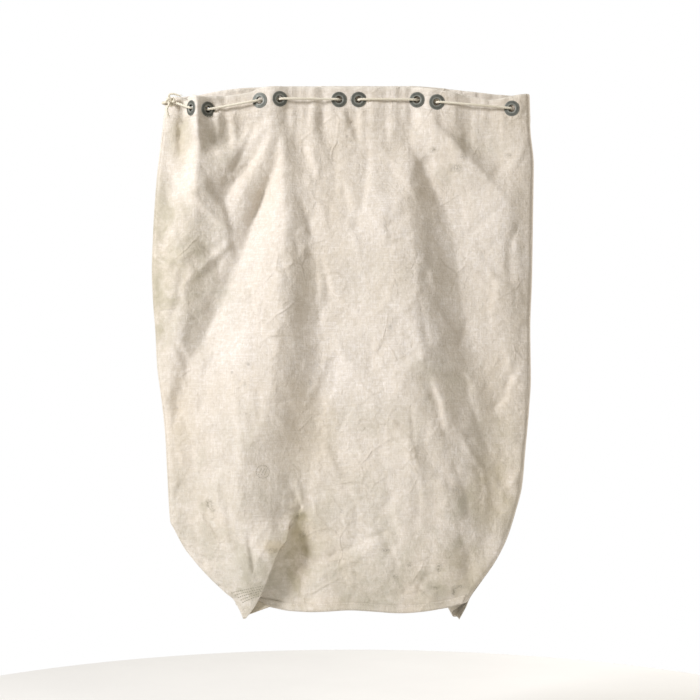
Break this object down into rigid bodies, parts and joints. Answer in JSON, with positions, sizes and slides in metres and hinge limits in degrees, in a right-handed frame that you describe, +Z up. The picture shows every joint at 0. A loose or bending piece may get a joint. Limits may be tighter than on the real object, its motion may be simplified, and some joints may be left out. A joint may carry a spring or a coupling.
{
  "type": "mail sack",
  "caption": "Tall canvas sack with a folded square base, corner ears, a hemmed rim with metal eyelets in pairs, and a knotted cotton draw cord; held by its rim.",
  "frame": {"origin": "middle of the stretch of rim that a clamp grips, midway between the front and back walls", "axes": "+Z up, +X to the right when facing the front, front wall towards -Y"},
  "size_m": [0.6635, 0.111, 0.9264],
  "materials": {
    "canvas": "matte unbleached cotton duck, worn and stained",
    "canvas_inside": "matte cotton duck, the folded base",
    "eyelet_metal": "dull oxidised zinc-plated metal with a lighter rolled edge",
    "cotton_cord": "matte twisted cotton"
  },
  "bodies": {
    "root": {"front_panel_upper": "canvas", "front_panel_middle_left": "canvas", "front_panel_middle_right": "canvas", "front_panel_lower_left": "canvas", "front_panel_lower_right": "canvas", "back_panel_upper": "canvas", "back_panel_middle_left": "canvas", "back_panel_middle_right": "canvas", "back_panel_lower_left": "canvas", "back_panel_lower_right": "canvas", "side_seam_left": "canvas", "side_seam_right": "canvas", "hem_front": "canvas", "hem_back": "canvas", "base_seam_front": "canvas", "base_seam_back": "canvas", "base_panel": "canvas_inside", "left_ear": "canvas", "right_ear": "canvas", "grommet_01": "eyelet_metal", "washer_01": "eyelet_metal", "grommet_02": "eyelet_metal", "washer_02": "eyelet_metal", "grommet_03": "eyelet_metal", "washer_03": "eyelet_metal", "grommet_04": "eyelet_metal", "washer_04": "eyelet_metal", "grommet_05": "eyelet_metal", "washer_05": "eyelet_metal", "grommet_06": "eyelet_metal", "washer_06": "eyelet_metal", "grommet_07": "eyelet_metal", "washer_07": "eyelet_metal", "grommet_08": "eyelet_metal", "washer_08": "eyelet_metal", "grommet_09": "eyelet_metal", "washer_09": "eyelet_metal", "grommet_10": "eyelet_metal", "washer_10": "eyelet_metal", "grommet_11": "eyelet_metal", "washer_11": "eyelet_metal", "grommet_12": "eyelet_metal", "washer_12": "eyelet_metal", "grommet_13": "eyelet_metal", "washer_13": "eyelet_metal", "grommet_14": "eyelet_metal", "washer_14": "eyelet_metal", "grommet_15": "eyelet_metal", "washer_15": "eyelet_metal", "grommet_16": "eyelet_metal", "washer_16": "eyelet_metal", "grommet_17": "eyelet_metal", "washer_17": "eyelet_metal", "grommet_18": "eyelet_metal", "washer_18": "eyelet_metal", "draw_cord": "cotton_cord", "draw_knot": "cotton_cord", "cord_tail_upper": "cotton_cord", "cord_tail_lower": "cotton_cord"}
  },
  "joints": []
}
